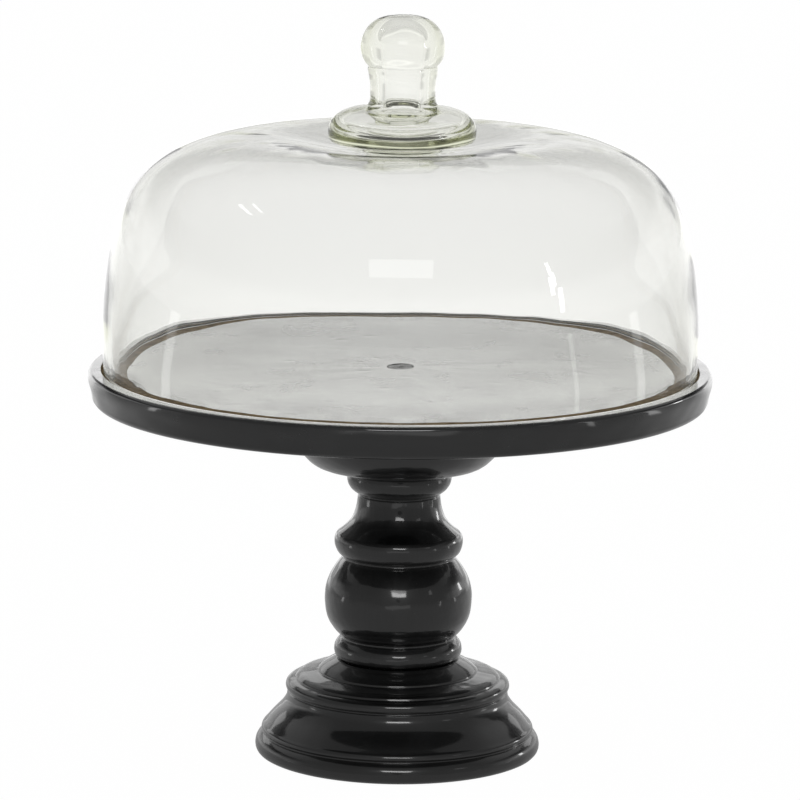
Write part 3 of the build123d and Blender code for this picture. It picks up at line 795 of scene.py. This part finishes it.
trans_w = g.math("ADD", trans_w, g.math("MULTIPLY", glow, g.mapr(sep.outputs[1], 0.4, 0.8, 0.0, 0.24)))
lp = g.node("ShaderNodeLightPath")
mixt = g.node("ShaderNodeMix", data_type="FLOAT")
g.link(lp.outputs["Is Transmission Ray"], mixt.inputs[0])
g.link(gloss_w, mixt.inputs[2])
g.link(trans_w, mixt.inputs[3])
mixn = g.node("ShaderNodeMix", data_type="FLOAT")
g.link(lp.outputs["Is Camera Ray"], mixn.inputs[0])
g.link(mixt.outputs[0], mixn.inputs[2])
mixn.inputs[3].default_value = 0.985
bg = g.node("ShaderNodeBackground")
bg.inputs[0].default_value = (1, 1, 1, 1)
g.link(mixn.outputs[0], bg.inputs[1])
g.link(bg.outputs[0], wout.inputs[0])


def area(name, az, el, dist, w, h, radiance, target=(0, 0, 0.17)):
    """A soft light at azimuth az (0 is the camera's side, positive towards +X) and elevation el, facing the target."""
    a, e = math.radians(az), math.radians(el)
    d = Vector((math.sin(a) * math.cos(e), -math.cos(a) * math.cos(e), math.sin(e)))
    data = bpy.data.lights.new(name, "AREA")
    data.shape = "RECTANGLE"
    data.size, data.size_y = w, h
    data.energy = radiance * math.pi * w * h
    o = bpy.data.objects.new(name, data)
    o.location = Vector(target) + d * dist
    o.rotation_mode = "QUATERNION"
    o.rotation_quaternion = d.to_track_quat("Z", "Y")
    scene.collection.objects.link(o)
    o.visible_camera = False
    return o


front_main = area("front_main", 0, 27.0, 2.6, 1.12, 0.56, 1.9, (0, -0.13, 0.25))
front_wood = area("front_wood", 0, 24.5, 2.6, 0.95, 0.44, 3.6, (0, 0, 0.10))
right_weak = area("right_weak", 54, 20, 2.6, 0.35, 0.30, 0.55)
right_small = area("right_small", 119, 7.7, 2.6, 0.28, 0.42, 5.5, (0, 0, 0.09))
on_glass = (0.074, -0.118, 0.257)
slash_a_high = area("slash_a_high", 61.6, 18.6, 2.6, 0.066, 0.30, 15.0, on_glass)
slash_a_low = area("slash_a_low", 61.0, 11.0, 2.6, 0.085, 0.30, 15.0, on_glass)
slash_b_high = area("slash_b_high", 62.6, 13.6, 2.6, 0.060, 0.26, 15.0, on_glass)
slash_b_low = area("slash_b_low", 64.6, 6.4, 2.6, 0.090, 0.28, 15.0, on_glass)
strokes_a = area("strokes_a", -104, 50.5, 2.6, 0.55, 0.05, 6.0, (-0.07, -0.10, 0.28))
strokes_b = area("strokes_b", -104, 54.5, 2.6, 0.45, 0.04, 5.0, (-0.07, -0.10, 0.28))
# a low white card behind the stand, which only polished faces that look just over the plate can see
card = area("back_card", 180, 2.0, 0.62, 1.1, 0.150, 0.86, (0, 0, 0.245))
card.visible_transmission = False
card.visible_diffuse = False
# the lamps that the glass doesn't show are flagged off it, and the thin strip lamps that only the glass shows are flagged off the wood
woods = bpy.data.collections.new("lit_from_above")
for o in (foot, column, flange, plate, plug, felt):
    woods.objects.link(o)
for o in (front_wood, right_weak, right_small, card):
    o.light_linking.receiver_collection = woods
clear = bpy.data.collections.new("lit_from_the_sides")
clear.objects.link(glass)
for o in (slash_a_high, slash_a_low, slash_b_high, slash_b_low, strokes_a, strokes_b):
    o.light_linking.receiver_collection = clear
    o.visible_transmission = False
front_main.visible_transmission = False

# ------------------------------------------------------------------ camera
cam_data = bpy.data.cameras.new("cam")
cam = bpy.data.objects.new("cam", cam_data)
scene.collection.objects.link(cam)
cam_data.sensor_width = 36.0
cam_data.lens = 244.8
cam_data.clip_start, cam_data.clip_end = 0.05, 60.0
eye, aim = Vector((0, -2.613, 0.6724)), Vector((0, 0, 0.17635))
fwd = (aim - eye).normalized()
right = fwd.cross(Vector((0, 0, 1))).normalized()
up = right.cross(fwd)
th = math.radians(0.5)
r2 = right * math.cos(th) + up * math.sin(th)
u2 = up * math.cos(th) - right * math.sin(th)
m3 = Matrix((r2, u2, -fwd)).transposed()
cam.matrix_world = Matrix.Translation(eye) @ m3.to_4x4()
scene.camera = cam

scene.view_settings.view_transform = "Standard"
scene.view_settings.look = "None"
scene.cycles.use_denoising = True
scene.cycles.max_bounces = 40
scene.cycles.transmission_bounces = 36
scene.cycles.glossy_bounces = 16
scene.cycles.diffuse_bounces = 4
scene.cycles.transparent_max_bounces = 32
scene.cycles.sample_clamp_indirect = 6.0
scene.cycles.blur_glossy = 0.0
